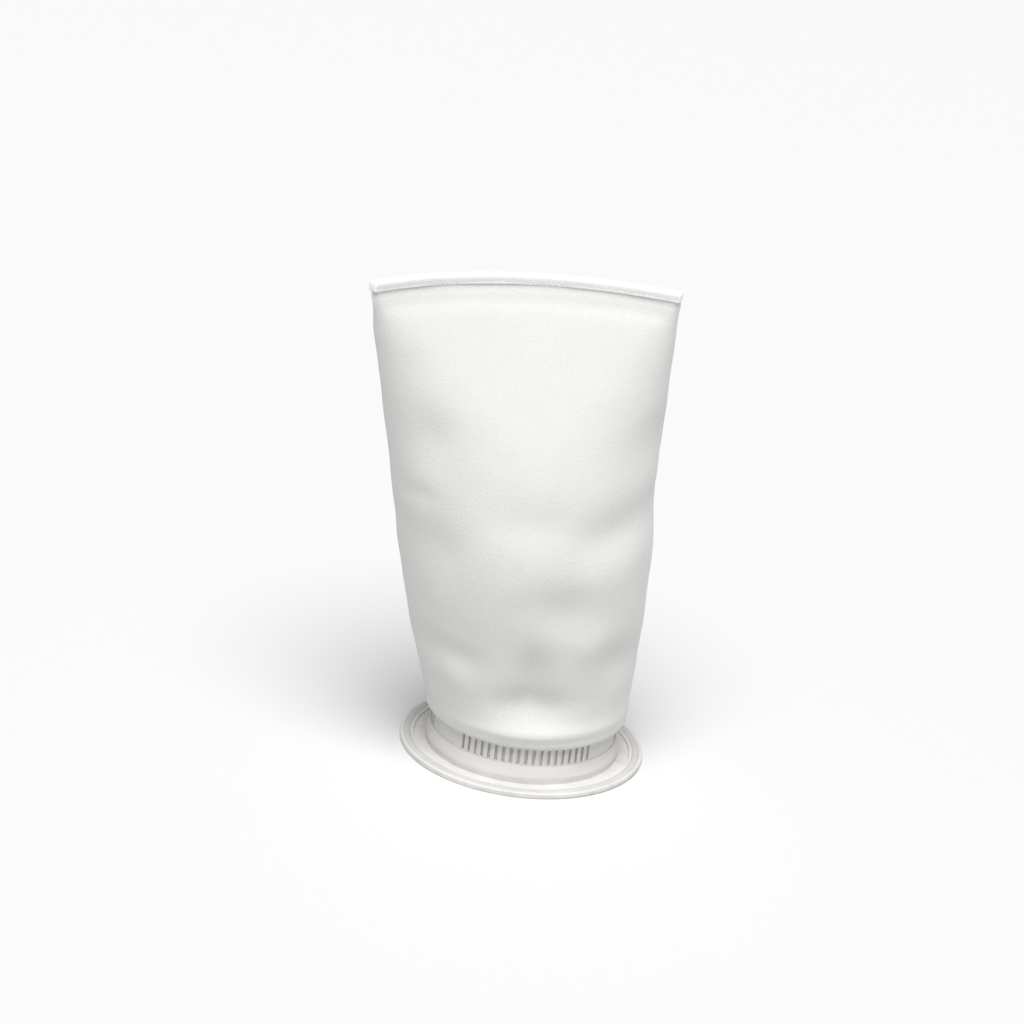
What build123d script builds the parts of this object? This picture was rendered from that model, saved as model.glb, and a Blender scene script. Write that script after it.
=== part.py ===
from build123d import *
from math import asin, cos, degrees, pi, radians, sin, sqrt
import os

# A felt filter bag for a dust collector, standing on its mouth with the sewn end up.
# Frame: origin on the collar's axis at the mouth face, +Z up the bag, X along the flat end seam.
# Every size is in millimetres.

# ---- felt bag ----
bag_radius = 91.0            # outside of the felt tube where it is round
felt = 2.2                   # needle felt thickness
bag_height = 440.0           # mouth face to the top of the bound end
end_bow = 37.0               # how far the end seam's middle lies behind its corners
end_offset = 24.0            # how far the end seam's middle lies behind the collar's axis
lean = 44.0                  # how far the limp bag slumps towards -X at its end
widening_power = 0.8         # how quickly the round tube widens into the flat end
bow_power = 2.0              # how late up the bag the bow sets in
section_points = 32          # points round each felt section
felt_bands = 12              # bands that the shaped height is built from, narrower towards the end
solid_end = 6.0              # height at the flat end where the two walls of felt meet
fold_gap = 0.4               # the turned fold's foot above the neck
fold_leg = 6.0               # straight felt above the turned fold
lap_height = 9.0             # felt turned up beside the cuff, which the cuff seam goes through

# ---- bound end ----
seam_allowance = 8.5         # flat, stitched part of the end
binding = 1.5                # binding tape thickness
binding_gap = 0.05
binding_lift = 0.5           # its lower edge above the foot of the flat part

# ---- collar ----
flange_width = 22.5          # flange beyond the shoulder
flange_plate = 3.2
rim_height = 5.0             # raised band round the flange
rim_width = 12.0
rim_slope = 1.0              # run of the rim's inner slope
rim_round = 1.2
shoulder_width = 4.5         # foot of the shoulder beyond the neck
shoulder_start = 9.0         # where the upright foot turns into the slope
shoulder_height = 18.8
shoulder_ledge = 1.2         # step between the slope and the neck
shoulder_round = 5.0
neck_step = 8.0              # the neck's outside lies this far inside the bag's
neck_wall = 2.6
neck_height = 36.5
neck_round = 0.6
mouth_depth = 6.6            # counterbore that the retainer's rim sits in
mouth_wall = 3.0
slot_groups = 3
slots_per_group = 19
slot_pitch = 4.65            # degrees
slot_width = 2.9
slot_foot = 0.8              # above the shoulder
slot_head = 2.2              # below the neck's top edge
slot_clocking = -11.5        # degrees, turns the slot groups about Z
relief_depth = 1.5           # moulded relief under the flange
relief_from_shoulder = 3.5
relief_from_edge = 4.0
relief_ribs = 32
relief_rib = 1.8

# ---- flange seal ----
seal_width = 6.4
seal_groove = 1.6
seal_proud = 0.9
seal_gap = 0.1
seal_from_edge = 3.0

# ---- mouth cuff and its cord ----
cuff = 2.4                   # felt thickness of the doubled cuff
cuff_gap = 0.1               # cuff to the neck's bore
cuff_recess = 0.6            # cuff's lower edge above the counterbore
cuff_short = 1.0             # cuff's upper edge below the lap's
cord_radius = 1.0
hem_wall = 0.8               # felt round the cord
hem_lift = 4.0               # cord centre above the cuff's lower edge
hem_slope = 1.0              # run of the slopes into the hem
hem_room = 0.2               # clearance round the hem in its groove

# ---- retainer ----
retainer_gap = 0.4           # clearance to the cuff and to the mouth
retainer_recess = 0.6        # its rim's face above the mouth face
retainer_wall = 2.6
barb = 0.6
barb_count = 5
barb_pitch = 4.2
barb_length = 2.6
barb_start = 2.5             # first barb above the rim
lead_in = 0.8
retainer_top_gap = 3.5       # below the neck's top edge
thumb_notches = 4
notch_width = 18.0
notch_depth = 2.6
notch_height = 3.2

# ---- side seam and stitches ----
tape_width = 18.0
tape = 0.9
tape_position = 34.0         # seam centre from the middle of the back
tape_start = 62.0
tape_end_gap = 4.0
thread = 0.45                # thread radius
stitch_length = 3.4
stitch_pitch = 5.0
stitch_row = 6.0             # row to tape centre
stitch_rise = 0.2            # thread centre above the tape's outer face
binding_row = 2.6            # stitch row above the binding's lower edge
cuff_row = 3.5               # stitch row above the fold's lower edge


# ---- derived places ----
neck_radius = bag_radius - neck_step
neck_bore = neck_radius - neck_wall
shoulder_radius = neck_radius + shoulder_width
flange_radius = shoulder_radius + flange_width
rim_inner = flange_radius - rim_width
relief_inner = shoulder_radius + relief_from_shoulder
relief_outer = flange_radius - relief_from_edge
cuff_outer = neck_bore - cuff_gap
cuff_inner = cuff_outer - cuff
cuff_foot = mouth_depth + cuff_recess
fold_outer_radius = (bag_radius - neck_bore) / 2
fold_inner_radius = fold_outer_radius - felt
fold_mid = neck_bore + fold_outer_radius
fold_foot = neck_height + fold_gap
fold_height = fold_foot + fold_outer_radius
lap_top = fold_height + lap_height
cuff_top = lap_top - cuff_short
belly_start = fold_height + fold_leg
seam_foot = bag_height - binding - seam_allowance
shaped_height = seam_foot - belly_start
end_half_arc = pi * bag_radius / 2 - felt / 2
bend_radius = end_half_arc**2 / (2 * end_bow)
bend_centre = (-lean, end_offset - bend_radius)
slab_half = felt + 0.1
binding_half = slab_half + binding_gap + binding
retainer_outer = cuff_inner - retainer_gap
retainer_core = retainer_outer - barb
retainer_bore = retainer_core - retainer_wall
retainer_height = neck_height - retainer_top_gap
mouth_radius = shoulder_radius - mouth_wall
hem_radius = cuff_inner + 2 * hem_wall + 2 * cord_radius
cord_height = cuff_foot + hem_lift


def ring(profile):
    """A solid of revolution about Z from a closed (radius, height) outline in the XZ plane."""
    return revolve(Plane.XZ * make_face(profile), Axis.Z, 360)


def closed(*points):
    return Polyline(*points, close=True)


def circles(body, radius, height):
    """The body's circular edges about Z at one radius and height."""
    found = body.edges().filter_by(GeomType.CIRCLE)
    return [e for e in found if abs(e.radius - radius) < 0.01 and abs(e.arc_center.Z - height) < 0.01]


def polar(radius, angle, height=0.0):
    return (radius * cos(radians(angle)), radius * sin(radians(angle)), height)


# ---- the felt's shape: a round tube that widens into a flat, bowed end of the same girth ----
def half_width(share):
    return bag_radius + (end_half_arc - bag_radius) * share**widening_power


def half_depth(share):
    """The depth that keeps the tube's girth at this width, which ends as the flat seam's."""
    wide, girth = half_width(share), 2 * pi * bag_radius
    low, high = slab_half, wide
    while high - low > 0.01:
        mid = (low + high) / 2
        around = pi * (3 * (wide + mid) - sqrt((3 * wide + mid) * (wide + 3 * mid)))
        low, high = (mid, high) if around < girth else (low, mid)
    return slab_half + (low - slab_half) * (1 - share**12)


def on_felt(share, angle, inset=0.0):
    """A point on the felt at a share of its shaped height. Angle 0 is +X and 90 is the back."""
    wide, deep = half_width(share) - inset, max(half_depth(share) - inset, 0.35)
    flatness = 2 + 4 * share**6
    along = wide * cos(radians(angle))
    across = deep * sqrt(max(0.0, 1 - abs(cos(radians(angle))) ** flatness))
    if sin(radians(angle)) < 0:
        across = -across
    bend = share**bow_power / bend_radius
    turn = along * bend
    if bend > 1e-9:
        x = (1 / bend + across) * sin(turn)
        y = (1 / bend + across) * cos(turn) - 1 / bend
    else:
        x, y = along, across
    return Vector(x - lean * share, y + end_offset * share**bow_power, belly_start + shaped_height * share)


def felt_section(share, inset):
    if share == 0:
        return Pos(0, 0, belly_start) * Circle(bag_radius - inset)
    points = [on_felt(share, 360 * i / section_points, inset) for i in range(section_points)]
    return make_face(Spline(*points, periodic=True))


def felt_body(inset):
    shares = [sin(pi / 2 * i / felt_bands) for i in range(felt_bands + 1)]
    return loft([felt_section(share, inset) for share in shares], ruled=True)


def end_arc(inner, outer, low, high):
    """A block that follows the end seam's bow, between two offsets from its middle line."""
    sweep = degrees(2 * end_half_arc / bend_radius)
    block = Polyline((bend_radius + inner, low), (bend_radius + outer, low), (bend_radius + outer, high),
                     (bend_radius + inner, high), close=True)
    solid = revolve(Plane.XZ * make_face(block), Axis.Z, sweep)
    turned = Rot(0, 0, 90 - sweep / 2) * solid
    return Pos(bend_centre[0], bend_centre[1], 0) * turned


def stitch(centre, along):
    """One thread stitch: a round bar with domed ends."""
    end = stitch_length / 2
    outline = Polyline((thread, end - thread), (thread, thread - end))
    outline += RadiusArc((thread, thread - end), (0, -end), thread)
    outline += Line((0, -end), (0, end))
    outline += RadiusArc((0, end), (thread, end - thread), thread)
    bar = revolve(Plane.XZ * make_face(outline), Axis.Z, 360)
    return (Plane(origin=centre, z_dir=along) * bar).solid()


# ---- pieces ----
def make_flange_collar():
    body = ring(closed(
        (mouth_radius, 0), (flange_radius, 0), (flange_radius, rim_height), (rim_inner, rim_height),
        (rim_inner - rim_slope, flange_plate), (shoulder_radius, flange_plate),
        (shoulder_radius, shoulder_start), (neck_radius + shoulder_ledge, shoulder_height),
        (neck_radius, shoulder_height), (neck_radius, neck_height), (neck_bore, neck_height),
        (neck_bore, mouth_depth), (mouth_radius, mouth_depth),
    ))
    body = fillet(circles(body, flange_radius, 0) + circles(body, flange_radius, rim_height), rim_round)
    body = fillet(circles(body, shoulder_radius, shoulder_start), shoulder_round)
    body = fillet(circles(body, neck_radius, neck_height) + circles(body, neck_bore, neck_height), neck_round)
    body -= hem_groove()
    body -= seal_channel()
    body -= slots()
    return body - underside_relief()


def hem_groove():
    inner, outer = neck_bore - hem_slope, hem_radius + hem_room
    half = cord_radius + hem_wall + hem_room
    return ring(closed((inner, cord_height - half - hem_slope), (outer, cord_height - half),
                       (outer, cord_height + half), (inner, cord_height + half + hem_slope)))


def seal_channel():
    outer = flange_radius - seal_from_edge
    inner = outer - seal_width
    return ring(closed((inner, rim_height - seal_groove), (outer, rim_height - seal_groove),
                       (outer, rim_height + 1), (inner, rim_height + 1)))


def slots():
    low, high = shoulder_height + slot_foot, neck_height - slot_head
    cutter = Box(4 * neck_wall, slot_width, high - low)
    group = 360 / slot_groups
    cuts = []
    for g in range(slot_groups):
        for i in range(slots_per_group):
            angle = -90 + slot_clocking + g * group + (i - (slots_per_group - 1) / 2) * slot_pitch
            cuts.append(Pos(*polar(neck_radius, angle, (low + high) / 2)) * Rot(0, 0, angle) * cutter)
    return cuts


def underside_relief():
    hollow = ring(closed((relief_inner, -1), (relief_outer, -1), (relief_outer, relief_depth),
                         (relief_inner, relief_depth)))
    middle = (relief_inner + relief_outer) / 2
    rib = Box(relief_outer - relief_inner + 2, relief_rib, 3 * relief_depth)
    for i in range(relief_ribs):
        angle = 360 * i / relief_ribs
        hollow -= Pos(*polar(middle, angle)) * Rot(0, 0, angle) * rib
    return hollow


def make_flange_seal():
    outer = flange_radius - seal_from_edge - seal_gap
    inner = outer - seal_width + 2 * seal_gap
    foot, shoulder = rim_height - seal_groove, rim_height
    outline = Polyline((inner, shoulder), (inner, foot), (outer, foot), (outer, shoulder))
    crown = ThreePointArc((outer, shoulder), ((inner + outer) / 2, shoulder + seal_proud), (inner, shoulder))
    return ring(outline + crown)


def make_mouth_cuff():
    low, high = cord_height - cord_radius - hem_wall, cord_height + cord_radius + hem_wall
    body = ring(closed(
        (cuff_inner, cuff_foot), (cuff_outer, cuff_foot), (cuff_outer, low), (hem_radius, low + hem_slope),
        (hem_radius, high - hem_slope), (cuff_outer, high), (cuff_outer, cuff_top), (cuff_inner, cuff_top),
    ))
    return body - make_mouth_cord()


def make_mouth_cord():
    centre = (cuff_inner + hem_wall + cord_radius, cord_height)
    return revolve(Plane.XZ * (Pos(*centre) * Circle(cord_radius)), Axis.Z, 360)


def make_filter_sleeve():
    """The lap beside the cuff, the fold that turns it outwards, the shaped tube and its flat end."""
    inside = bag_radius - felt
    lap_outer = neck_bore + felt
    outline = Polyline((neck_bore, fold_height), (neck_bore, lap_top), (lap_outer, lap_top),
                       (lap_outer, fold_height))
    outline += ThreePointArc((lap_outer, fold_height), (fold_mid, fold_height - fold_inner_radius),
                             (inside, fold_height))
    outline += Polyline((inside, fold_height), (inside, belly_start), (bag_radius, belly_start),
                        (bag_radius, fold_height))
    outline += ThreePointArc((bag_radius, fold_height), (fold_mid, fold_foot), (neck_bore, fold_height))
    fold = ring(outline)
    side = 4 * end_half_arc
    above = Pos(0, 0, seam_foot - solid_end + side / 2) * Box(side, side, side)
    shell = felt_body(0) - (felt_body(felt) - above)
    end = extrude(felt_section(1.0, 0), amount=seam_allowance, dir=(0, 0, 1))
    return fold + shell + end


def make_side_seam_tape():
    skin = felt_body(-tape) - felt_body(0)
    angle_foot, angle_head = seam_angles()
    low = on_felt((tape_start - belly_start) / shaped_height, angle_foot)
    high = on_felt(1.0 - tape_end_gap / shaped_height, angle_head)
    strip = make_face(Plane.XZ * closed(
        (low.X - tape_width / 2, low.Z), (low.X + tape_width / 2, low.Z),
        (high.X + tape_width / 2, high.Z), (high.X - tape_width / 2, high.Z)))
    both_walls = skin & extrude(strip, amount=2 * bag_radius, dir=(0, 1, 0))
    return both_walls.solids().sort_by(Axis.Y)[-1]


def seam_angles():
    """The section angles, at the tape's foot and head, of the line that the side seam follows."""
    return tuple(90 - degrees(asin(tape_position / half_width(s))) for s in (0.0, 1.0))


def make_side_seam_stitches():
    rows = []
    count = int((shaped_height * 0.93) / stitch_pitch)
    for side in (-stitch_row, stitch_row):
        for i in range(count):
            share = 0.05 + i * stitch_pitch / shaped_height
            reach = (tape_position + side) / half_width(share)
            here = on_felt(share, 90 - degrees(asin(reach)), -tape - stitch_rise)
            above = on_felt(share + 0.004, 90 - degrees(asin(reach)), -tape - stitch_rise)
            rows.append(stitch(here, above - here))
    return Compound(rows)


def make_end_binding():
    low, high = seam_foot + binding_lift, bag_height
    outer = end_arc(-binding_half, binding_half, low, high)
    return outer - end_arc(-slab_half - binding_gap, slab_half + binding_gap, low - 1, high - binding)


def make_end_stitches():
    height = seam_foot + binding_lift + binding_row
    count = int(2 * (end_half_arc - stitch_pitch) / stitch_pitch)
    rows = []
    for offset in (-binding_half, binding_half):
        radius = bend_radius + offset
        for i in range(count):
            turn = (i - (count - 1) / 2) * stitch_pitch / bend_radius
            centre = Vector(bend_centre[0] + radius * sin(turn), bend_centre[1] + radius * cos(turn), height)
            rows.append(stitch(centre, Vector(cos(turn), -sin(turn), 0)))
    return Compound(rows)


def make_cuff_stitches():
    height = fold_height + cuff_row
    count = int(2 * pi * cuff_inner / stitch_pitch)
    rows = []
    for i in range(count):
        angle = 360 * i / count
        rows.append(stitch(Vector(*polar(cuff_inner, angle, height)), Vector(*polar(1.0, angle + 90))))
    return Compound(rows)


def make_retainer_ring():
    rim = mouth_radius - retainer_gap
    rim_top = mouth_depth - retainer_gap
    foot = retainer_recess
    points = [(retainer_bore, foot), (rim, foot), (rim, rim_top), (retainer_core, rim_top)]
    for i in range(barb_count):
        low = rim_top + barb_start + i * barb_pitch
        points += [(retainer_core, low), (retainer_outer, low), (retainer_core, low + barb_length)]
    points += [(retainer_core, retainer_height - lead_in), (retainer_core - lead_in, retainer_height),
               (retainer_bore, retainer_height)]
    body = ring(closed(*points))
    notch = Box(2 * notch_depth, notch_width, 2 * notch_height)
    for i in range(thumb_notches):
        angle = 45 + 360 * i / thumb_notches
        body -= Pos(*polar(rim, angle)) * Rot(0, 0, angle) * notch
    return body


pieces = {
    "flange_collar": make_flange_collar,
    "flange_seal": make_flange_seal,
    "mouth_cuff": make_mouth_cuff,
    "mouth_cord": make_mouth_cord,
    "cuff_stitches": make_cuff_stitches,
    "filter_sleeve": make_filter_sleeve,
    "side_seam_tape": make_side_seam_tape,
    "side_seam_stitches": make_side_seam_stitches,
    "end_binding": make_end_binding,
    "end_stitches": make_end_stitches,
    "retainer_ring": make_retainer_ring,
}

os.makedirs("parts", exist_ok=True)
for name, make in pieces.items():
    shape = make()
    print(name, "solids", len(shape.solids()), "volume", round(sum(s.volume for s in shape.solids())))
    export_step(shape, f"parts/{name}.step")
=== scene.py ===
import bisect
import bmesh
import bpy
import math
import random
from mathutils import Matrix, Vector, noise


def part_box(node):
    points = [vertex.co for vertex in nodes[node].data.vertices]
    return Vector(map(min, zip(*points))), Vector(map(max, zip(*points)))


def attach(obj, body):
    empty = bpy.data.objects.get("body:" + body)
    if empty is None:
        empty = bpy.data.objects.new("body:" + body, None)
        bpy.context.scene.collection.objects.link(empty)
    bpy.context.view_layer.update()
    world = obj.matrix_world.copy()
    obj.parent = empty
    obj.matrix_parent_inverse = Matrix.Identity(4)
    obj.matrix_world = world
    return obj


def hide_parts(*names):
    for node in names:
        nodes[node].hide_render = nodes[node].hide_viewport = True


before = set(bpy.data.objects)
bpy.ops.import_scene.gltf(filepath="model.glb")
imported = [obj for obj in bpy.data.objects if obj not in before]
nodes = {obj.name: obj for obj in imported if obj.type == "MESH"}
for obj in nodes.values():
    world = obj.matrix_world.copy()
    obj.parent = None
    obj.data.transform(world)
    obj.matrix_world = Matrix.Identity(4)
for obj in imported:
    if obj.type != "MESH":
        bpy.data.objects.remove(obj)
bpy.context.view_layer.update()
random.seed(7)
print("frame loaded")


# shader helpers
class Wire:
    # one socket of a material, with arithmetic that adds Math nodes
    def __init__(self, tree, socket):
        self.tree = tree
        self.socket = socket

    def make(self, kind, settings=None, output=0, **sockets):
        made = self.tree.nodes.new(kind)
        for key, value in (settings or {}).items():
            setattr(made, key, value)
        for key, value in sockets.items():
            name = key.replace("_", " ")
            byNumber = name[0] == "i" and name[1:].isdigit()
            target = made.inputs[int(name[1:]) if byNumber else name]
            if isinstance(value, Wire):
                self.tree.links.new(value.socket, target)
            else:
                target.default_value = value
        return None if output is None else Wire(self.tree, made.outputs[output])

    def maths(self, operation, first, second=0.0):
        return self.make("ShaderNodeMath", {"operation": operation}, i0=first, i1=second)

    def __add__(self, other):
        return self.maths("ADD", self, other)

    def __radd__(self, other):
        return self.maths("ADD", other, self)

    def __sub__(self, other):
        return self.maths("SUBTRACT", self, other)

    def __rsub__(self, other):
        return self.maths("SUBTRACT", other, self)

    def __mul__(self, other):
        return self.maths("MULTIPLY", self, other)

    def __rmul__(self, other):
        return self.maths("MULTIPLY", other, self)

    def between(self, low, high):
        return self.make("ShaderNodeMapRange", {"interpolation_type": "SMOOTHSTEP"}, Value=self,
                         From_Min=low, From_Max=high)


def newFinish(name):
    material = bpy.data.materials.new(name)
    material.use_nodes = True
    tree = material.node_tree
    tree.nodes.clear()
    place = tree.nodes.new("ShaderNodeTexCoord")
    return material, Wire(tree, place.outputs["Object"])


def closeFinish(wire, colour, roughness, normal, **fixed):
    surface = wire.make("ShaderNodeBsdfPrincipled", None, 0, Base_Color=colour, Roughness=roughness,
                        Normal=normal, **fixed)
    end = wire.tree.nodes.new("ShaderNodeOutputMaterial")
    wire.tree.links.new(surface.socket, end.inputs["Surface"])


def cloud(wire, scale, detail=2.0, roughness=0.5, stretch=None):
    place = wire
    if stretch:
        place = wire.make("ShaderNodeMapping", None, 0, Vector=wire, Scale=stretch)
    return wire.make("ShaderNodeTexNoise", None, 0, Vector=place, Scale=scale, Detail=detail,
                     Roughness=roughness)


def tint(wire, amount, dark, light):
    return wire.make("ShaderNodeMix", {"data_type": "RGBA"}, 2, i0=amount, i6=dark, i7=light)


def bump(wire, height, strength, distance):
    return wire.make("ShaderNodeBump", None, 0, Height=height, Strength=strength, Distance=distance)


# finishes
def feltFinish(name, dark, light, fuzz=1.0):
    # needle-punched polyester felt: tangled fibres, cloudy density, faint punch rows
    material, at = newFinish(name)
    clumps = cloud(at, 45.0, 4.0, 0.6)
    tangle = cloud(at, 620.0, 5.0, 0.65)
    upright = cloud(at, 900.0, 3.0, 0.6, (1.0, 1.0, 0.25))
    lying = cloud(at, 900.0, 3.0, 0.6, (0.3, 0.3, 1.0))
    fibres = tangle * 0.5 + upright * 0.25 + lying * 0.25
    pits = at.make("ShaderNodeTexVoronoi", {"feature": "F1"}, 0, Vector=at, Scale=420.0)
    shade = (clumps - 0.5) * 0.22 + (fibres - 0.5) * 0.9 + 0.5
    colour = tint(at, shade.between(0.1, 0.9), dark, light)
    rough = 0.82 + 0.14 * fibres
    height = fibres * 1.0 + pits * 0.25 + clumps * 0.12
    closeFinish(at, colour, rough, bump(at, height, 0.55 * fuzz, 0.0009), Sheen_Weight=0.25,
                Sheen_Roughness=0.55, Specular_IOR_Level=0.25)
    return material


def tapeFinish(name, dark, light):
    # woven polyester tape: fine ribs along the tape with a finer weft
    material, at = newFinish(name)
    ribs = at.make("ShaderNodeTexWave", {"bands_direction": "Z"}, 1, Vector=at, Scale=190.0, Distortion=0.6,
                   Detail=1.0)
    weft = at.make("ShaderNodeTexWave", {"bands_direction": "X"}, 1, Vector=at, Scale=230.0, Distortion=0.6,
                   Detail=1.0)
    fluff = cloud(at, 500.0, 4.0, 0.6)
    worn = cloud(at, 35.0, 3.0, 0.55)
    weave = ribs * 0.5 + weft * 0.5
    shade = weave * 0.35 + fluff * 0.4 + worn * 0.5
    colour = tint(at, shade.between(0.25, 0.95), dark, light)
    closeFinish(at, colour, 0.74 + 0.16 * fluff, bump(at, weave * 0.7 + fluff * 0.6, 0.4, 0.0005),
                Sheen_Weight=0.15, Sheen_Roughness=0.5, Specular_IOR_Level=0.3)
    return material


def threadFinish(name, dark, light):
    material, at = newFinish(name)
    ply = at.make("ShaderNodeTexWave", {"bands_direction": "DIAGONAL"}, 1, Vector=at, Scale=420.0,
                  Distortion=1.0)
    hair = cloud(at, 1400.0, 3.0, 0.6)
    colour = tint(at, ply * 0.6 + hair * 0.4, dark, light)
    closeFinish(at, colour, 0.55 + 0.2 * hair, bump(at, ply + hair * 0.5, 0.5, 0.0003), Sheen_Weight=0.1,
                Specular_IOR_Level=0.4)
    return material


def plasticFinish(name, dark, light, base, grain, dustHeight):
    # moulded polypropylene: fine spark texture, faint flow marks, dust that settles low down
    material, at = newFinish(name)
    spark = cloud(at, 1800.0, 2.0, 0.5)
    flow = cloud(at, 22.0, 3.0, 0.5, (1.0, 1.0, 4.0))
    handled = cloud(at, 60.0, 5.0, 0.65)
    height = at.make("ShaderNodeSeparateXYZ", None, 2, Vector=at)
    low = 1.0 - height.between(0.0, dustHeight)
    dust = low * handled.between(0.35, 0.75)
    scuffs = cloud(at, 260.0, 6.0, 0.75).between(0.62, 0.72)
    colour = tint(at, (flow * 0.6 + 0.4 - dust * 0.45 - scuffs * 0.12).between(0.0, 1.0), dark, light)
    rough = base + 0.12 * handled + 0.16 * dust + 0.1 * scuffs
    closeFinish(at, colour, rough, bump(at, spark * grain + flow * 0.25 - scuffs * 0.3, 0.22, 0.0004),
                Subsurface_Weight=0.08, Subsurface_Radius=(0.004, 0.004, 0.003), Subsurface_Scale=1.0,
                Specular_IOR_Level=0.45)
    return material


felt = feltFinish("needle_felt", (0.60, 0.60, 0.585, 1.0), (0.70, 0.70, 0.687, 1.0))
# the cuff is the sleeve's own needle felt, tinted lighter here: painted light that offsets the shade inside
# the collar's slots, where the cuff shows
cuffFeltPaintedLighter = feltFinish("cuff_felt_painted_lighter", (0.62, 0.615, 0.585, 1.0), (0.80, 0.795, 0.77, 1.0), 1.1)
tape = tapeFinish("binding_tape", (0.76, 0.76, 0.745, 1.0), (0.93, 0.93, 0.92, 1.0))
thread = threadFinish("white_thread", (0.62, 0.61, 0.58, 1.0), (0.84, 0.84, 0.82, 1.0))
rope = threadFinish("hem_cord", (0.58, 0.57, 0.53, 1.0), (0.80, 0.79, 0.76, 1.0))
collarPlastic = plasticFinish("collar_plastic", (0.56, 0.547, 0.523, 1.0), (0.73, 0.722, 0.705, 1.0),
                              0.40, 0.7, 0.012)
ringPlastic = plasticFinish("retainer_plastic", (0.58, 0.565, 0.53, 1.0), (0.83, 0.82, 0.80, 1.0),
                            0.44, 0.9, 0.010)
sealRubber = plasticFinish("seal_rubber", (0.43, 0.42, 0.40, 1.0), (0.60, 0.59, 0.57, 1.0), 0.62, 1.3, 0.010)
print("finishes made")


# modelling helpers
def deselect():
    if bpy.context.object and bpy.context.object.mode == "EDIT":
        bpy.ops.object.mode_set(mode="OBJECT")
    for each in bpy.context.selected_objects:
        each.select_set(False)


def named(name, material):
    piece = bpy.context.object
    piece.name = name
    piece.data.name = name
    piece.data.materials.clear()
    piece.data.materials.append(material)
    return piece


def activate(piece):
    deselect()
    piece.select_set(True)
    bpy.context.view_layer.objects.active = piece


def applyPlace(piece):
    activate(piece)
    bpy.ops.object.transform_apply(location=True, rotation=True, scale=True)


def addModifier(piece, kind, **settings):
    activate(piece)
    made = piece.modifiers.new(kind.lower(), kind)
    for key, value in settings.items():
        setattr(made, key, value)
    bpy.ops.object.modifier_apply(modifier=made.name)


def smooth(piece, angle=40.0):
    activate(piece)
    bpy.ops.object.shade_smooth_by_angle(angle=math.radians(angle))


def cutEdges(piece, isChosen, cuts):
    # subdivides only the chosen edges, which divides the faces between them
    if cuts < 1:
        return
    activate(piece)
    bpy.ops.object.mode_set(mode="EDIT")
    bpy.ops.mesh.select_mode(type="EDGE")
    bpy.ops.mesh.select_all(action="DESELECT")
    work = bmesh.from_edit_mesh(piece.data)
    for edge in work.edges:
        edge.select = isChosen(edge)
    bmesh.update_edit_mesh(piece.data)
    bpy.ops.mesh.subdivide(number_cuts=cuts)
    bpy.ops.object.mode_set(mode="OBJECT")


def openTube(name, material, radius, low, high, columns, rows):
    # a tube with no ends; returns it with its vertices sorted into rows of columns
    deselect()
    bpy.ops.mesh.primitive_cylinder_add(vertices=columns, radius=radius, depth=high - low,
                                        end_fill_type="NOTHING", location=(0, 0, (low + high) / 2))
    piece = named(name, material)
    applyPlace(piece)
    upright = lambda edge: abs(edge.verts[0].co.z - edge.verts[1].co.z) > 1e-5
    # cut in two passes, as one holds at most 100 cuts
    bands = next(n for n in range(9, 0, -1) if (rows - 1) % n == 0)
    cutEdges(piece, upright, bands - 1)
    cutEdges(piece, upright, (rows - 1) // bands - 1)
    step = (high - low) / (rows - 1)

    def rowThenColumn(vertex):
        row = round((vertex.co.z - low) / step)
        turn = (math.atan2(vertex.co.x, vertex.co.y) / math.tau) % 1.0
        return row, round(turn * columns) % columns

    grid = [[None] * columns for _ in range(rows)]
    for vertex in piece.data.vertices:
        row, column = rowThenColumn(vertex)
        grid[row][column] = vertex.index
    return piece, grid


def between(value, low, high):
    share = min(1.0, max(0.0, (value - low) / (high - low)))
    return share * share * (3 - 2 * share)


def readCurve(points, at):
    # smooth interpolation through (place, value) pairs
    slopes = [(d - b) / (c - a) for (a, b), (c, d) in zip(points, points[1:])]
    slopes = [slopes[0]] + [(m + n) / 2 for m, n in zip(slopes, slopes[1:])] + [slopes[-1]]
    for i, ((a, first), (b, second)) in enumerate(zip(points, points[1:])):
        if at <= b:
            step = b - a
            t = (at - a) / step
            return (first * (1 + 2 * t) * (1 - t) ** 2 + second * t * t * (3 - 2 * t)
                    + step * slopes[i] * t * (1 - t) ** 2 - step * slopes[i + 1] * t * t * (1 - t))
    return points[-1][1]


# felt sleeve
sleeve = {
    "columns": 192,
    "startRadius": 0.09,       # the plain tube that the felt is bent from
    "startHeight": 0.4,
    "bodyRows": 132,
    "foldRows": 9,
    "lapRows": 4,
    "hemRows": 3,
    "hemShare": 0.7,           # how far the felt runs up inside the band
    "felt": 0.0022,
    "tubeRadius": 0.0899,      # middle of the felt's thickness
    "foldRadius": 0.0042,
    "lapHeight": 0.0088,
    "lean": 0.046,             # sideways slump of the end
    "bow": 0.037,              # how far the end's middle lies behind its corners
    "endBack": 0.024,          # how far the end's middle lies behind the neck's middle
    "bowPower": 2.1,           # how late the bow sets in on the way up
    "facetFrom": 0.59,         # share of the height where the flat, three-cornered facets start
    "crest": 0.34,             # how gently they start
    "flattening": [(0, 0), (0.06, 0.09), (0.15, 0.215), (0.3, 0.365), (0.52, 0.54), (0.74, 0.735),
                   (0.9, 0.89), (1, 1)],
    "wander": 0.0011,          # soft unevenness of the hanging felt
    "backWander": 2.6,         # times as much of it at the back, which has no dents
    "frontFullness": 0.658509,  # how much deeper the front half is, from mid height up
    "backSlack": 0.45,         # share of that taken from the back half
    "endFlatness": 0.6,        # flatness of the last, smallest half ovals
    "facetReach": 0.975,       # share of the end's width that the facets reach
    "endTuck": 0.0017,         # how far the felt is drawn in just below the bound end
    "tuckAt": 0.966,           # share of the height
    "tuckHalf": 0.014,
    "tuckFade": 0.16,          # share of the way from a corner to the middle where it sets in
    "turn": 15.0,              # degrees, the side that the dents below are placed on
}

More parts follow.
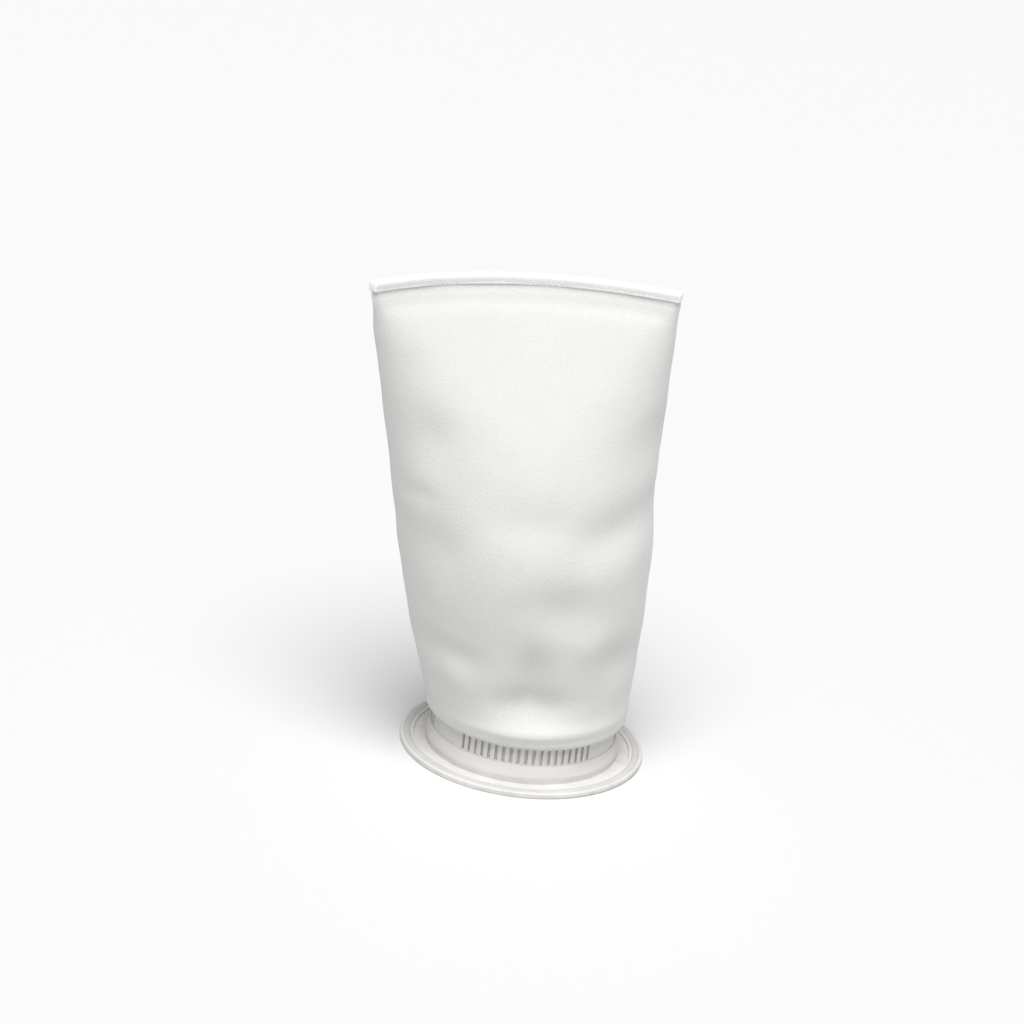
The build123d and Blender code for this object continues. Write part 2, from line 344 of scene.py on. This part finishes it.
# dents in the front: across and up in metres, their half sizes, tilt in degrees, depth (minus is a bulge)
dents = [
    (0.003, 0.076, 0.028, 0.016, 0, 0.0145),
    (0.003, 0.106, 0.016, 0.026, 0, 0.0105),
    (0.014, 0.0505, 0.054, 0.0058, 2, -0.0046),
    (0.024, 0.172, 0.030, 0.024, -25, 0.0064),
    (-0.004, 0.246, 0.046, 0.020, -6, 0.0036),
    (0.062, 0.238, 0.038, 0.022, 20, 0.0074),
    (0.078, 0.306, 0.022, 0.028, -24, 0.0036),
    (-0.108, 0.306, 0.026, 0.024, 18, 0.0042),
    (-0.114, 0.258, 0.016, 0.010, 4, 0.0018),
    (-0.092, 0.215, 0.026, 0.028, 10, 0.0044),
    (-0.074, 0.118, 0.030, 0.012, -8, 0.0034),
    (-0.064, 0.092, 0.022, 0.015, -20, -0.0028),
    (0.076, 0.116, 0.015, 0.020, 24, 0.0046),
    (0.050, 0.138, 0.018, 0.016, 30, -0.0024),
]

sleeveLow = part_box("filter_sleeve")[0]
bindingLow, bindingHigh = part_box("end_binding")
foldHeight = sleeveLow.z + sleeve["foldRadius"] + sleeve["felt"] / 2
halfSeam = math.pi * sleeve["tubeRadius"] / 2
bendRadius = halfSeam ** 2 / (2 * sleeve["bow"])


ovals = {}


def alongOval(around, flat):
    # a point of the oval that keeps the tube's girth while it widens; 0 is the middle of the back
    key = round(flat, 5)
    if key not in ovals:
        wide = halfSeam * flat + sleeve["tubeRadius"] * (1 - flat)
        low, high = 0.0, wide
        for _ in range(40):
            deep = (low + high) / 2
            girth = math.pi * (3 * (wide + deep) - math.sqrt((3 * wide + deep) * (wide + 3 * deep)))
            low, high = (deep, high) if girth < math.tau * sleeve["tubeRadius"] else (low, deep)
        steps = 720
        points = [Vector((wide * math.sin(math.tau * i / steps), deep * math.cos(math.tau * i / steps)))
                  for i in range(steps + 1)]
        lengths = [0.0]
        for first, second in zip(points, points[1:]):
            lengths.append(lengths[-1] + (second - first).length)
        ovals[key] = points, lengths
    points, lengths = ovals[key]
    target = (around % 1.0) * lengths[-1]
    at = min(bisect.bisect_right(lengths, target), len(points) - 1)
    share = (target - lengths[at - 1]) / (lengths[at] - lengths[at - 1])
    return points[at - 1].lerp(points[at], share)


def withFacets(around, facet, flat):
    # the oval's two halves, smaller and moved apart to the corners, with a flat facet in front and behind
    girth = math.tau * sleeve["tubeRadius"]
    run, side = (around % 1.0) * girth, 1
    if run > girth / 2:
        run, side = girth - run, -1
    straight = halfSeam * facet
    arc = girth / 2 * (1 - facet)
    turned = min(max((run - straight) / arc, 0.0), 1.0) if arc > 1e-6 else 0.5
    place = alongOval(turned / 2, flat) * (1 - facet)
    reach = min(run, straight, girth / 2 - run) if turned in (0.0, 1.0) else straight
    return Vector((side * (place.x + reach), place.y))


def bagPoint(around, share):
    start = sleeve["facetFrom"]
    rise, crest = max(0.0, (share - start) / (1 - start)), sleeve["crest"]
    facet = (rise ** 2 / (2 * crest) if rise < crest else rise - crest / 2) / (1 - crest / 2)
    facet *= sleeve["facetReach"]
    wide = readCurve(sleeve["flattening"], share)
    flat = max(0.0, (wide - facet) / (1 - facet)) if share < 0.999 else sleeve["endFlatness"]
    place = withFacets(around, facet, flat)
    fuller = sleeve["frontFullness"] * between(share, 0.0, 0.5)
    place.y *= 1 + fuller if place.y < 0 else 1 - fuller * sleeve["backSlack"]
    bend = share ** sleeve["bowPower"] / bendRadius
    x, y = place
    if bend > 1e-6:
        turn = x * bend
        x = (1 / bend + place.y) * math.sin(turn)
        y = (1 / bend + place.y) * math.cos(turn) - 1 / bend
    y += sleeve["endBack"] * share ** sleeve["bowPower"]
    x -= sleeve["lean"] * share
    return Vector((x, y, foldHeight + (bindingLow.z - foldHeight) * share))


def dentAt(place):
    # total inward depth of the dents at a point of the front
    turn = math.radians(sleeve["turn"])
    across = place.x * math.cos(turn) - place.y * math.sin(turn)
    total = 0.0
    for (middle, height, wide, tall, tilt, depth) in dents:
        dx, dz = across - middle, place.z - height
        lean = math.radians(tilt)
        along = dx * math.cos(lean) + dz * math.sin(lean)
        over = dz * math.cos(lean) - dx * math.sin(lean)
        reach = (along / wide) ** 2 + (over / tall) ** 2
        if reach < 9:
            total += depth * math.exp(-reach)
    return total


def makeSleeve():
    columns, bodyRows = sleeve["columns"], sleeve["bodyRows"]
    foldRows, lapRows = sleeve["foldRows"], sleeve["lapRows"]
    hemRows = sleeve["hemRows"]
    rows = lapRows + foldRows + bodyRows + hemRows
    piece, grid = openTube("felt_sleeve", felt, sleeve["startRadius"], 0.0, sleeve["startHeight"],
                           columns, rows)
    vertices = piece.data.vertices
    mid = sleeve["tubeRadius"] - sleeve["foldRadius"]
    for column in range(columns):
        turn = column / columns * math.tau
        outward = Vector((math.sin(turn), math.cos(turn), 0))
        for row in range(lapRows):
            height = foldHeight + sleeve["lapHeight"] * (1 - row / lapRows)
            vertices[grid[row][column]].co = outward * (mid - sleeve["foldRadius"]) + Vector((0, 0, height))
        for row in range(foldRows):
            swing = math.pi * row / foldRows
            radius = mid - sleeve["foldRadius"] * math.cos(swing)
            height = foldHeight - sleeve["foldRadius"] * math.sin(swing)
            vertices[grid[lapRows + row][column]].co = outward * radius + Vector((0, 0, height))
        for row in range(bodyRows):
            share = row / (bodyRows - 1)
            vertices[grid[lapRows + foldRows + row][column]].co = bagPoint(column / columns, share)
        top = vertices[grid[rows - hemRows - 1][column]].co
        for row in range(hemRows):
            lift = (bindingHigh.z - bindingLow.z) * sleeve["hemShare"] * (row + 1) / hemRows
            vertices[grid[rows - hemRows + row][column]].co = top + Vector((0, 0, lift))
    shapeFelt(piece, grid, lapRows + foldRows, rows - hemRows)
    return piece, grid


def shapeFelt(piece, grid, first, last):
    # the soft dents, folds and unevenness, each moved along the surface's own normal
    piece.data.update()
    vertices = piece.data.vertices
    normals = [n.vector.copy() for n in piece.data.vertex_normals]
    columns = len(grid[0])
    moves = {}
    for row in range(first, last):
        share = (row - first) / (last - first - 1)
        held = between(share, 0.0, 0.03) * (1 - between(share, 0.93, 1.0))
        for column in range(columns):
            index = grid[row][column]
            place, normal = vertices[index].co, normals[index]
            front = between(-normal.y, -0.05, 0.35)
            backMore = sleeve["backWander"] - (sleeve["backWander"] - 1) * front
            broad = noise.noise(place * 14.0 + Vector((3, 7, 1)))
            soft = broad + 0.5 * noise.noise(place * 31.0 + Vector((9, 2, 5)))
            depth = dentAt(place) * front * between(share, 0.0, 0.02)
            fromCorner = 1 - abs(column / columns - 0.5) * 4
            nearEnd = math.exp(-((share - sleeve["tuckAt"]) / sleeve["tuckHalf"]) ** 2)
            depth += sleeve["endTuck"] * between(fromCorner, 0.0, sleeve["tuckFade"]) * nearEnd
            moves[index] = normal * (soft * sleeve["wander"] * held * backMore - depth)
    for index, move in moves.items():
        vertices[index].co += move


sleevePiece, sleeveGrid = makeSleeve()
bodyStart = sleeve["lapRows"] + sleeve["foldRows"]
bodyEnd = bodyStart + sleeve["bodyRows"] - 1
feltPlaces = [[sleevePiece.data.vertices[i].co.copy() for i in row] for row in sleeveGrid]


def onFelt(around, share):
    # a point on the middle of the felt, with the outward and upward directions there
    columns = len(feltPlaces[0])
    row = bodyStart + share * (bodyEnd - bodyStart)
    low = min(int(row), bodyEnd - 1)
    blendRow = row - low
    column = (around % 1.0) * columns
    left = int(column) % columns
    right = (left + 1) % columns
    blendColumn = column - int(column)

    def mixRow(r):
        return feltPlaces[r][left].lerp(feltPlaces[r][right], blendColumn)

    place = mixRow(low).lerp(mixRow(low + 1), blendRow)
    up = mixRow(low + 1) - mixRow(low)
    wayRound = feltPlaces[low][right] - feltPlaces[low][left]
    return place, up.cross(wayRound).normalized(), up.normalized()


def wallFelt():
    # gives the felt its thickness
    addModifier(sleevePiece, "SOLIDIFY", thickness=sleeve["felt"], offset=0.0, use_even_offset=True)
    smooth(sleevePiece, 60)
    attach(sleevePiece, "collar")
    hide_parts("filter_sleeve")


wallFelt()
print("felt sleeve made")


# stitches
stitch = {"length": 0.0034, "radius": 0.00045}


def stitchShape():
    # one thread stitch along X, modelled once
    deselect()
    bpy.ops.mesh.primitive_uv_sphere_add(segments=8, ring_count=6, radius=stitch["radius"],
                                         rotation=(0, math.pi / 2, 0))
    piece = named("stitch", thread)
    applyPlace(piece)
    reach = stitch["length"] / 2 - stitch["radius"]
    for vertex in piece.data.vertices:
        if abs(vertex.co.x) > 1e-6:
            vertex.co.x += math.copysign(reach, vertex.co.x)
    return piece


def stitchRow(name, places, body, node):
    # copies of the stitch at each (centre, along, outward)
    model = stitchShape()
    work = bmesh.new()
    for centre, along, outward in places:
        across = outward.cross(along).normalized()
        turned = Matrix((along, across, outward)).transposed().to_4x4()
        tilt = Matrix.Rotation(random.uniform(-0.07, 0.07), 4, "Z")
        before = len(work.verts)
        work.from_mesh(model.data)
        work.verts.ensure_lookup_table()
        place = Matrix.Translation(centre) @ turned @ tilt
        bmesh.ops.transform(work, matrix=place, verts=work.verts[before:])
    row = bpy.data.meshes.new(name)
    work.to_mesh(row)
    work.free()
    row.materials.append(thread)
    piece = bpy.data.objects.new(name, row)
    bpy.context.scene.collection.objects.link(piece)
    bpy.data.objects.remove(model)
    for face in row.polygons:
        face.use_smooth = True
    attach(piece, body)
    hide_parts(node)


# bound end
binding = {
    "thick": 0.0100,
    "rounding": 0.0026,
    "stations": 100,
    "overlap": 0.0022,         # past the felt's corners
    "reachDown": 0.0004,       # past the solid's lower edge
    "topGap": 0.0002,          # short of its upper edge
    "rowHalf": 0.0012,         # half height of the strip that the stitches press in
    "rowPinch": 0.16,          # share of the thickness that they take there
    "pucker": 0.0875,          # how much that varies along each stitch
    "puff": 0.05,
    "uneven": 0.0007,
    "stitchPitch": 0.005,
    "stitchLift": 0.0029,      # above the band's lower edge
    "stitchOut": 0.85,         # share of the half thickness
}


def endPoint(run, over, height):
    # run along the end seam, offset over it towards the back, at a height
    radius = bendRadius + over
    turn = run / bendRadius
    across = radius * math.sin(turn) - sleeve["lean"]
    back = radius * math.cos(turn) - bendRadius + sleeve["endBack"]
    return Vector((across, back, height))


def makeBinding():
    low, high = bindingLow.z - binding["reachDown"], bindingHigh.z - binding["topGap"]
    length = 2 * (halfSeam + binding["overlap"])
    deselect()
    bpy.ops.mesh.primitive_cube_add(size=1, location=(0, 0, (low + high) / 2),
                                    scale=(length, binding["thick"], high - low))
    piece = named("end_band", tape)
    applyPlace(piece)
    cutEdges(piece, lambda e: abs(e.verts[0].co.x - e.verts[1].co.x) > length / 2, binding["stations"])
    activate(piece)
    bpy.ops.object.mode_set(mode="EDIT")
    bpy.ops.mesh.select_all(action="DESELECT")
    work = bmesh.from_edit_mesh(piece.data)
    for edge in work.edges:
        a, b = edge.verts
        lengthwise = abs(a.co.x - b.co.x) > 1e-4 and abs(abs(a.co.y) - binding["thick"] / 2) < 1e-5
        atEnd = abs(abs(a.co.x) - length / 2) < 1e-5 and abs(abs(b.co.x) - length / 2) < 1e-5
        edge.select = (lengthwise and abs(a.co.z - b.co.z) < 1e-5) or atEnd
    bmesh.update_edit_mesh(piece.data)
    bpy.ops.mesh.bevel(offset=binding["rounding"], segments=4, profile=0.5, affect="EDGES")
    bpy.ops.object.mode_set(mode="OBJECT")
    addModifier(piece, "SUBSURF", levels=1, render_levels=1)
    for vertex in piece.data.vertices:
        x, y, z = vertex.co
        rise = (z - low) / (high - low)
        row = math.exp(-((z - low - binding["stitchLift"]) / binding["rowHalf"]) ** 2)
        ripple = binding["pucker"] * math.cos(math.tau * x / binding["stitchPitch"])
        pinch = 1 - row * binding["rowPinch"] - row * ripple
        puff = 1 + binding["puff"] * noise.noise(Vector((x * 40, 3, 0)))
        place = endPoint(x, y * pinch * puff, z)
        place.z += binding["uneven"] * rise * noise.noise(Vector((x * 26, 0, 8)))
        place.y += binding["uneven"] * noise.noise(Vector((x * 22, 5, 0)))
        vertex.co = place
    smooth(piece, 70)
    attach(piece, "collar")
    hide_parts("end_binding")
    return low


def makeEndStitches(low):
    count = int(2 * (halfSeam - binding["stitchPitch"]) / binding["stitchPitch"])
    places = []
    for side in (-1, 1):
        for i in range(count):
            run = (i - (count - 1) / 2) * binding["stitchPitch"]
            turn = run / bendRadius
            along = Vector((math.cos(turn), -math.sin(turn), 0))
            outward = Vector((math.sin(turn), math.cos(turn), 0)) * side
            over = side * binding["thick"] / 2 * binding["stitchOut"]
            centre = endPoint(run, over, low + binding["stitchLift"])
            places.append((centre, along, outward))
    stitchRow("end_stitching", places, "collar", "end_stitches")


makeEndStitches(makeBinding())
print("bound end made")


# side seam at the back
sideSeam = {
    "middle": 0.034,           # round the felt from the middle of the back
    "width": 0.018,
    "thick": 0.0009,
    "from": 0.05,              # shares of the bag's height
    "to": 0.985,
    "rise": 0.55,              # the tape's middle above the felt, as a share of its thickness
    "rowSink": 0.3,
    "edgeSink": 0.15,
    "rowHalf": 0.0011,
    "stitchRise": 0.72,
    "across": 13,
    "along": 120,
    "stitchPitch": 0.005,
    "stitchOut": 0.006,
}


def seamPlace(offset, share, lift):
    girth = math.tau * sleeve["tubeRadius"]
    place, outward, up = onFelt((sideSeam["middle"] + offset) / girth, share)
    return place + outward * (sleeve["felt"] / 2 + lift), outward, up


def makeSideSeam():
    deselect()
    bpy.ops.mesh.primitive_grid_add(x_subdivisions=sideSeam["across"], y_subdivisions=sideSeam["along"],
                                    size=1)
    piece = named("seam_tape", tape)
    for vertex in piece.data.vertices:
        offset = vertex.co.x * sideSeam["width"]
        share = sideSeam["from"] + (sideSeam["to"] - sideSeam["from"]) * (vertex.co.y + 0.5)
        edge = abs(vertex.co.x) * 2
        row = math.exp(-((abs(offset) - sideSeam["stitchOut"]) / sideSeam["rowHalf"]) ** 2)
        sink = sideSeam["rowSink"] * row + sideSeam["edgeSink"] * edge ** 8
        lift = sideSeam["thick"] * (sideSeam["rise"] - sink)
        vertex.co = seamPlace(offset, share, lift)[0]
    addModifier(piece, "SOLIDIFY", thickness=sideSeam["thick"], offset=0.0)
    activate(piece)
    bpy.ops.object.mode_set(mode="EDIT")
    bpy.ops.mesh.select_all(action="SELECT")
    bpy.ops.mesh.normals_make_consistent(inside=False)
    bpy.ops.object.mode_set(mode="OBJECT")
    smooth(piece, 50)
    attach(piece, "collar")
    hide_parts("side_seam_tape")
    length = (bindingLow.z - foldHeight) * (sideSeam["to"] - sideSeam["from"])
    count = int(length / sideSeam["stitchPitch"]) - 1
    places = []
    for side in (-1, 1):
        for i in range(count):
            share = sideSeam["from"] + (sideSeam["to"] - sideSeam["from"]) * (i + 1) / (count + 1)
            rise = sideSeam["thick"] * sideSeam["stitchRise"]
            centre, outward, up = seamPlace(side * sideSeam["stitchOut"], share, rise)
            places.append((centre, up, outward))
    stitchRow("side_stitching", places, "collar", "side_seam_stitches")


makeSideSeam()
print("side seam made")


# mouth cuff, its cord and stitches
cuff = {"columns": 144, "rows": 30, "thick": 0.0024, "bulge": 0.00096, "hemLift": 0.004, "hemHalf": 0.0026,
        "stitchPitch": 0.005, "stitchAboveFold": 0.0035, "cordThick": 0.002, "hemWall": 0.0008,
        "clearance": 0.0002, "uneven": 0.0001}
cuffLow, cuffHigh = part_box("mouth_cuff")


def makeCuff():
    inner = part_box("mouth_cord")[1].x - cuff["cordThick"] - cuff["hemWall"]
    middle = inner + cuff["thick"] / 2
    low, high = cuffLow.z + cuff["clearance"], cuffHigh.z - cuff["clearance"]
    piece, _ = openTube("felt_cuff", cuffFeltPaintedLighter, middle, low, high, cuff["columns"], cuff["rows"])
    for vertex in piece.data.vertices:
        hem = math.exp(-((vertex.co.z - cuffLow.z - cuff["hemLift"]) / cuff["hemHalf"]) ** 4)
        soft = cuff["uneven"] * noise.noise(vertex.co * 60)
        outward = Vector((vertex.co.x, vertex.co.y, 0)).normalized()
        vertex.co += outward * (hem * cuff["bulge"] + soft)
    addModifier(piece, "SOLIDIFY", thickness=cuff["thick"] - cuff["clearance"], offset=0.0)
    smooth(piece, 50)
    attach(piece, "collar")
    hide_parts("mouth_cuff")
    count = int(math.tau * inner / cuff["stitchPitch"])
    height = foldHeight + cuff["stitchAboveFold"]
    places = []
    for i in range(count):
        turn = math.tau * i / count
        outward = Vector((math.cos(turn), math.sin(turn), 0))
        along = Vector((-math.sin(turn), math.cos(turn), 0))
        places.append((outward * inner + Vector((0, 0, height)), along, -outward))
    stitchRow("cuff_stitching", places, "collar", "cuff_stitches")


makeCuff()

for name, finish in (("flange_collar", collarPlastic), ("retainer_ring", ringPlastic),
                     ("flange_seal", sealRubber), ("mouth_cord", rope)):
    nodes[name].data.materials.clear()
    nodes[name].data.materials.append(finish)
print("cuff made, moulded parts finished")


# floor, light and camera
studio = {
    "floorSize": 24.0,
    "floorColour": (0.72, 0.72, 0.72, 1.0),
    "worldStrength": 0.24,
    "keyStrength": 3.8,
    "keySoftness": 44.0,       # degrees that the key light spans
    "keyTurn": -12.0,          # degrees to the right of the front
    "keyRise": 67.0,           # degrees above the floor
}
camera = {"azimuth": -15.0, "elevation": 21.5, "distance": 3.2, "lens": 127.6, "roll": 6.8,
          "aimAt": Vector((-0.0315, 0.0093, 0.2229))}


def makeStudio():
    deselect()
    bpy.ops.mesh.primitive_plane_add(size=studio["floorSize"], location=(0, 0, 0))
    material, at = newFinish("studio_floor")
    surface = at.make("ShaderNodeBsdfPrincipled", None, 0, Base_Color=studio["floorColour"], Roughness=0.8)
    clear = at.make("ShaderNodeBsdfTransparent")
    fromBelow = at.make("ShaderNodeNewGeometry", None, "Backfacing")
    seen = at.make("ShaderNodeMixShader", None, 0, i0=fromBelow, i1=surface, i2=clear)
    at.make("ShaderNodeOutputMaterial", None, None, Surface=seen)
    floor = named("studio_floor", material)
    world = bpy.data.worlds.new("studio")
    bpy.context.scene.world = world
    world.use_nodes = True
    world.node_tree.nodes["Background"].inputs["Color"].default_value = (1, 1, 1, 1)
    world.node_tree.nodes["Background"].inputs["Strength"].default_value = studio["worldStrength"]
    lamp = bpy.data.lights.new("key", "SUN")
    lamp.energy = studio["keyStrength"]
    lamp.angle = math.radians(studio["keySoftness"])
    key = bpy.data.objects.new("key", lamp)
    bpy.context.scene.collection.objects.link(key)
    turn, rise = math.radians(studio["keyTurn"]), math.radians(studio["keyRise"])
    towards = Vector((math.sin(turn) * math.cos(rise), -math.cos(turn) * math.cos(rise), math.sin(rise)))
    key.location = towards * 3.0
    key.rotation_mode = "QUATERNION"
    key.rotation_quaternion = (-towards).to_track_quat("-Z", "Y")


def makeCamera():
    data = bpy.data.cameras.new("camera")
    data.sensor_width = 36.0
    data.lens = camera["lens"]
    eye = bpy.data.objects.new("camera", data)
    bpy.context.scene.collection.objects.link(eye)
    turn, rise = math.radians(camera["azimuth"]), math.radians(camera["elevation"])
    back = Vector((math.sin(turn) * math.cos(rise), -math.cos(turn) * math.cos(rise), math.sin(rise)))
    eye.location = camera["aimAt"] + back * camera["distance"]
    eye.rotation_mode = "QUATERNION"
    level = (-back).to_track_quat("-Z", "Y")
    eye.rotation_quaternion = level @ Matrix.Rotation(math.radians(camera["roll"]), 3, "Z").to_quaternion()
    bpy.context.scene.camera = eye


makeStudio()
makeCamera()
bpy.context.scene.view_settings.view_transform = "Standard"
print("studio made")

deselect()
bpy.context.view_layer.update()
